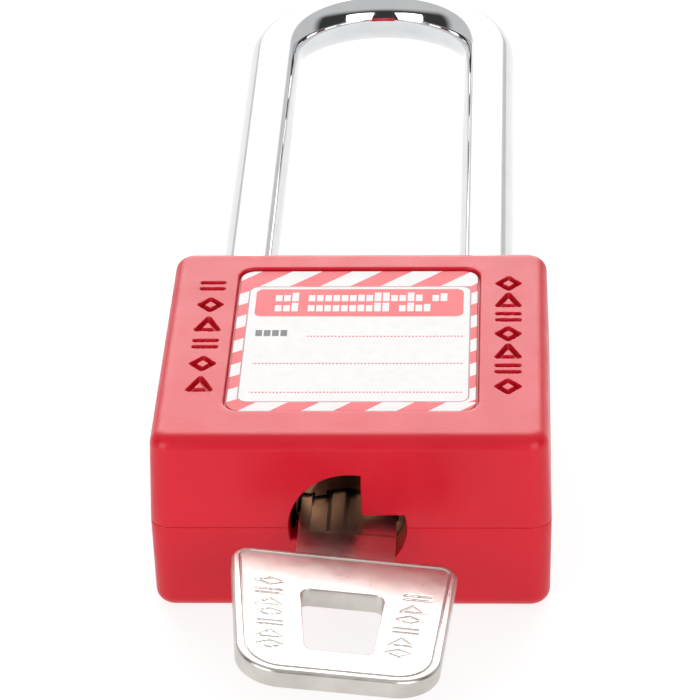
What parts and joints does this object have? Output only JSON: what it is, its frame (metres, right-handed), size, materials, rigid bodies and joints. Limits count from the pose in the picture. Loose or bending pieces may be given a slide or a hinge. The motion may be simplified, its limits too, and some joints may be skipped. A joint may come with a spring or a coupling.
{
  "type": "safety padlock",
  "caption": "Safety padlock with a red plastic body, a recessed label, a long chromed shackle and a flat key in its pin cylinder.",
  "frame": {"origin": "centre of the body's flat back face, on which the padlock lies", "axes": "+Y from the body to the shackle, along the cylinder's axis, +Z out of the label, +X to the right of the label"},
  "size_m": [0.04, 0.1466, 0.0201],
  "materials": {
    "body_plastic": "satin moulded red plastic with a fine spark texture",
    "label_print": "printed and laminated sticker",
    "chrome_plate": "bright chrome plate on steel",
    "nickel_plate": "tumbled satin nickel plate",
    "brass": "turned brass",
    "steel": "ground steel",
    "die_cast_zinc": "bare die casting"
  },
  "bodies": {
    "body": {"front_shell": "body_plastic", "rear_shell": "body_plastic", "front_label": "label_print", "lock_case": "die_cast_zinc", "retaining_pin": "steel", "cylinder_housing": "brass", "chamber_cover": "brass", "pin_spring_1": "steel", "pin_spring_2": "steel", "pin_spring_3": "steel", "pin_spring_4": "steel", "pin_spring_5": "steel", "pin_spring_6": "steel"},
    "shackle": {"shackle": "chrome_plate"},
    "plug": {"plug": "brass", "plug_clip": "steel"},
    "key": {"key": "nickel_plate"},
    "cam": {"cam": "steel"},
    "ball_left": {"locking_ball_left": "steel"},
    "ball_right": {"locking_ball_right": "steel"},
    "key_pin_1": {"key_pin_1": "brass"},
    "driver_pin_1": {"driver_pin_1": "nickel_plate"},
    "key_pin_2": {"key_pin_2": "brass"},
    "driver_pin_2": {"driver_pin_2": "nickel_plate"},
    "key_pin_3": {"key_pin_3": "brass"},
    "driver_pin_3": {"driver_pin_3": "nickel_plate"},
    "key_pin_4": {"key_pin_4": "brass"},
    "driver_pin_4": {"driver_pin_4": "nickel_plate"},
    "key_pin_5": {"key_pin_5": "brass"},
    "driver_pin_5": {"driver_pin_5": "nickel_plate"},
    "key_pin_6": {"key_pin_6": "brass"},
    "driver_pin_6": {"driver_pin_6": "nickel_plate"}
  },
  "joints": [
    {"name": "shackle_lift", "type": "slide", "parent": "body", "child": "shackle", "axis": [0, 1, 0], "range_m": [0, 0.0145]},
    {"name": "plug_turn", "type": "hinge", "parent": "body", "child": "plug", "pos_m": [0, -0.0152, 0.0098], "axis": [0, 1, 0], "range_deg": [-6.5, 83.5]},
    {"name": "key_slide", "type": "slide", "parent": "plug", "child": "key", "axis": [0, 1, 0], "range_m": [-0.027, 0]},
    {"name": "cam_turn", "type": "hinge", "parent": "body", "child": "cam", "pos_m": [0, 0.0106, 0.0098], "axis": [0, 1, 0], "range_deg": [-83.5, 0]},
    {"name": "ball_left_slide", "type": "slide", "parent": "body", "child": "ball_left", "axis": [-1, 0, 0], "range_m": [0, 0.0021]},
    {"name": "ball_right_slide", "type": "slide", "parent": "body", "child": "ball_right", "axis": [1, 0, 0], "range_m": [0, 0.0021]},
    {"name": "key_pin_1_drop", "type": "slide", "parent": "plug", "child": "key_pin_1", "axis": [-0.9936, 0, 0.1132], "range_m": [0, 0.0012]},
    {"name": "driver_pin_1_rise", "type": "slide", "parent": "body", "child": "driver_pin_1", "axis": [1, 0, 0], "range_m": [0, 0.0012], "stiffness_N_per_m": 60, "springref_m": -0.002, "deforming": ["pin_spring_1"]},
    {"name": "key_pin_2_drop", "type": "slide", "parent": "plug", "child": "key_pin_2", "axis": [-0.9936, 0, 0.1132], "range_m": [0, 0.0012]},
    {"name": "driver_pin_2_rise", "type": "slide", "parent": "body", "child": "driver_pin_2", "axis": [1, 0, 0], "range_m": [0, 0.0012], "stiffness_N_per_m": 60, "springref_m": -0.002, "deforming": ["pin_spring_2"]},
    {"name": "key_pin_3_drop", "type": "slide", "parent": "plug", "child": "key_pin_3", "axis": [-0.9936, 0, 0.1132], "range_m": [0, 0.0012]},
    {"name": "driver_pin_3_rise", "type": "slide", "parent": "body", "child": "driver_pin_3", "axis": [1, 0, 0], "range_m": [0, 0.0012], "stiffness_N_per_m": 60, "springref_m": -0.002, "deforming": ["pin_spring_3"]},
    {"name": "key_pin_4_drop", "type": "slide", "parent": "plug", "child": "key_pin_4", "axis": [-0.9936, 0, 0.1132], "range_m": [0, 0.0012]},
    {"name": "driver_pin_4_rise", "type": "slide", "parent": "body", "child": "driver_pin_4", "axis": [1, 0, 0], "range_m": [0, 0.0012], "stiffness_N_per_m": 60, "springref_m": -0.002, "deforming": ["pin_spring_4"]},
    {"name": "key_pin_5_drop", "type": "slide", "parent": "plug", "child": "key_pin_5", "axis": [-0.9936, 0, 0.1132], "range_m": [0, 0.0012]},
    {"name": "driver_pin_5_rise", "type": "slide", "parent": "body", "child": "driver_pin_5", "axis": [1, 0, 0], "range_m": [0, 0.0012], "stiffness_N_per_m": 60, "springref_m": -0.002, "deforming": ["pin_spring_5"]},
    {"name": "key_pin_6_drop", "type": "slide", "parent": "plug", "child": "key_pin_6", "axis": [-0.9936, 0, 0.1132], "range_m": [0, 0.0012]},
    {"name": "driver_pin_6_rise", "type": "slide", "parent": "body", "child": "driver_pin_6", "axis": [1, 0, 0], "range_m": [0, 0.0012], "stiffness_N_per_m": 60, "springref_m": -0.002, "deforming": ["pin_spring_6"]}
  ],
  "couplings": [
    {"joint": "ball_left_slide", "follows": "cam_turn", "m_per_rad": -0.00144},
    {"joint": "ball_right_slide", "follows": "cam_turn", "m_per_rad": -0.00144},
    {"joint": "key_pin_1_drop", "follows": "key_slide", "ratio": -0.044},
    {"joint": "key_pin_2_drop", "follows": "key_slide", "ratio": -0.044},
    {"joint": "key_pin_3_drop", "follows": "key_slide", "ratio": -0.044},
    {"joint": "key_pin_4_drop", "follows": "key_slide", "ratio": -0.044},
    {"joint": "key_pin_5_drop", "follows": "key_slide", "ratio": -0.044},
    {"joint": "key_pin_6_drop", "follows": "key_slide", "ratio": -0.044}
  ]
}
